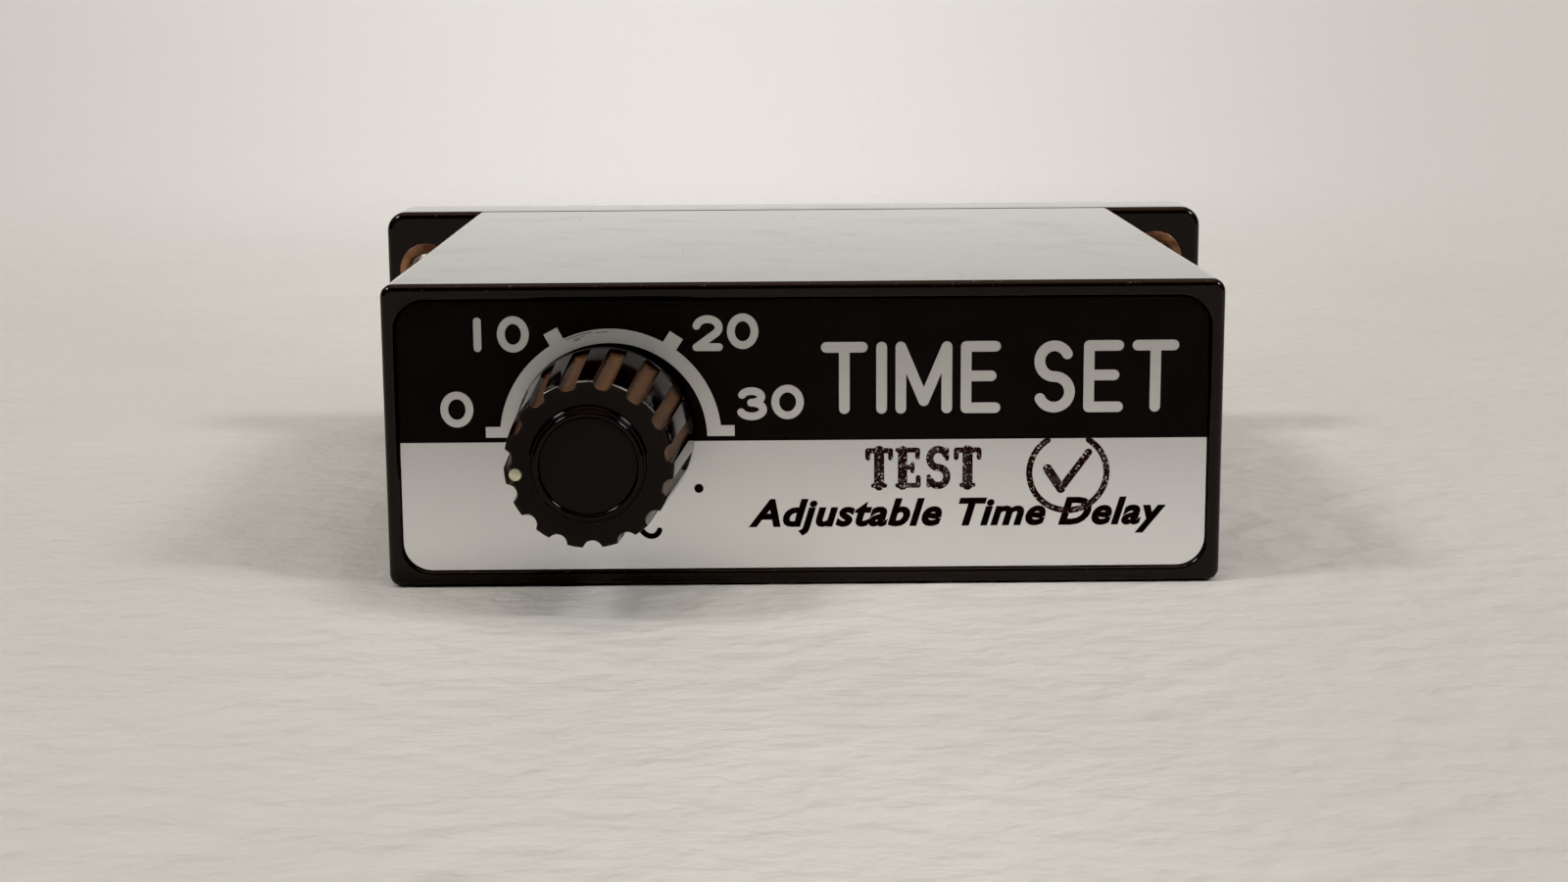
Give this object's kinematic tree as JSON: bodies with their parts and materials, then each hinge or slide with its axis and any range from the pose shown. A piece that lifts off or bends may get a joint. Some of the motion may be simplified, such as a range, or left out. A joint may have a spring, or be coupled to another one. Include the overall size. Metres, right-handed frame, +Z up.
{
  "type": "enlarger timer",
  "caption": "Black box timer module with a fluted time-setting knob over a printed half-circle scale, a metal nameplate and a rear base flange with eyelets and blade contacts.",
  "frame": {"origin": "the middle of the bottom of the whole module's bounding box, on the surface it stands on", "axes": "+Y from the knob to the back along the case's depth, +X to the right seen from the front, +Z up"},
  "size_m": [0.11, 0.1192, 0.0315],
  "materials": {
    "black_phenolic": "polished moulded phenolic",
    "nameplate_metal": "satin sheet with a black printed band",
    "eyelet_copper": "dull copper-plated",
    "screw_steel": "plated steel",
    "cream_paint": "aged cream paint fill",
    "brass": "turned brass",
    "brown_laminate": "paper-phenolic laminate",
    "tinned_contact": "tin-plated metal",
    "wire_red": "plastic wire insulation",
    "wire_yellow": "plastic wire insulation",
    "wire_grey": "plastic wire insulation",
    "circuit_laminate": "tan paper-phenolic board",
    "capacitor_sleeve": "blue shrink sleeve",
    "transistor_can": "nickel-plated can",
    "resistor_body": "moulded carbon resistor",
    "diode_body": "black epoxy",
    "soft_iron": "zinc-plated soft iron",
    "coil_winding": "varnished copper winding",
    "spring_bronze": "phosphor bronze strip"
  },
  "bodies": {
    "housing": {"base_flange": "black_phenolic", "base_screw_1": "screw_steel", "base_screw_2": "screw_steel", "base_screw_3": "screw_steel", "base_screw_4": "screw_steel", "board_screw_1": "screw_steel", "board_screw_2": "screw_steel", "carrier_screw_1": "screw_steel", "carrier_screw_2": "screw_steel", "case_shell": "black_phenolic", "circuit_board": "circuit_laminate", "contact_carrier": "brown_laminate", "contact_pin_1": "tinned_contact", "contact_pin_2": "tinned_contact", "contact_pin_3": "tinned_contact", "contact_pin_4": "tinned_contact", "contact_pin_5": "tinned_contact", "contact_pin_6": "tinned_contact", "contact_pin_7": "tinned_contact", "contact_pin_8": "tinned_contact", "flyback_diode": "diode_body", "mount_eyelet_1": "eyelet_copper", "mount_eyelet_2": "eyelet_copper", "mount_eyelet_3": "eyelet_copper", "mount_eyelet_4": "eyelet_copper", "nameplate": "nameplate_metal", "pot_bushing": "brass", "pot_can": "screw_steel", "pot_lug_1": "tinned_contact", "pot_lug_2": "tinned_contact", "pot_lug_3": "tinned_contact", "pot_nut": "brass", "pot_track": "brown_laminate", "pot_washer": "screw_steel", "pot_wire_1": "wire_red", "pot_wire_2": "wire_yellow", "pot_wire_3": "wire_grey", "relay_base": "brown_laminate", "relay_coil": "coil_winding", "relay_contact_closed": "tinned_contact", "relay_contact_open": "tinned_contact", "relay_yoke": "soft_iron", "resistor_1": "resistor_body", "resistor_2": "resistor_body", "resistor_3": "resistor_body", "resistor_4": "resistor_body", "smoothing_capacitor": "capacitor_sleeve", "timing_capacitor": "capacitor_sleeve", "transistor_1": "transistor_can", "transistor_2": "transistor_can"},
    "knob_and_shaft": {"knob": "black_phenolic", "knob_pointer_dot": "cream_paint", "knob_hub": "brass", "knob_set_screw": "screw_steel", "pot_shaft": "screw_steel", "pot_rotor": "brown_laminate", "pot_wiper": "brass"},
    "armature": {"relay_armature": "soft_iron", "relay_contact_spring": "spring_bronze"}
  },
  "joints": [
    {"name": "knob_turn", "type": "hinge", "parent": "housing", "child": "knob_and_shaft", "pos_m": [-0.0203, -0.04267, 0.01605], "axis": [0, 1, 0], "range_deg": [0, 195]},
    {"name": "armature_pull", "type": "hinge", "parent": "housing", "child": "armature", "pos_m": [0.015, 0.01932, 0.0236], "axis": [1, 0, 0], "range_deg": [0, 4], "stiffness_Nm_per_rad": 0.02, "springref_deg": -5.73}
  ]
}
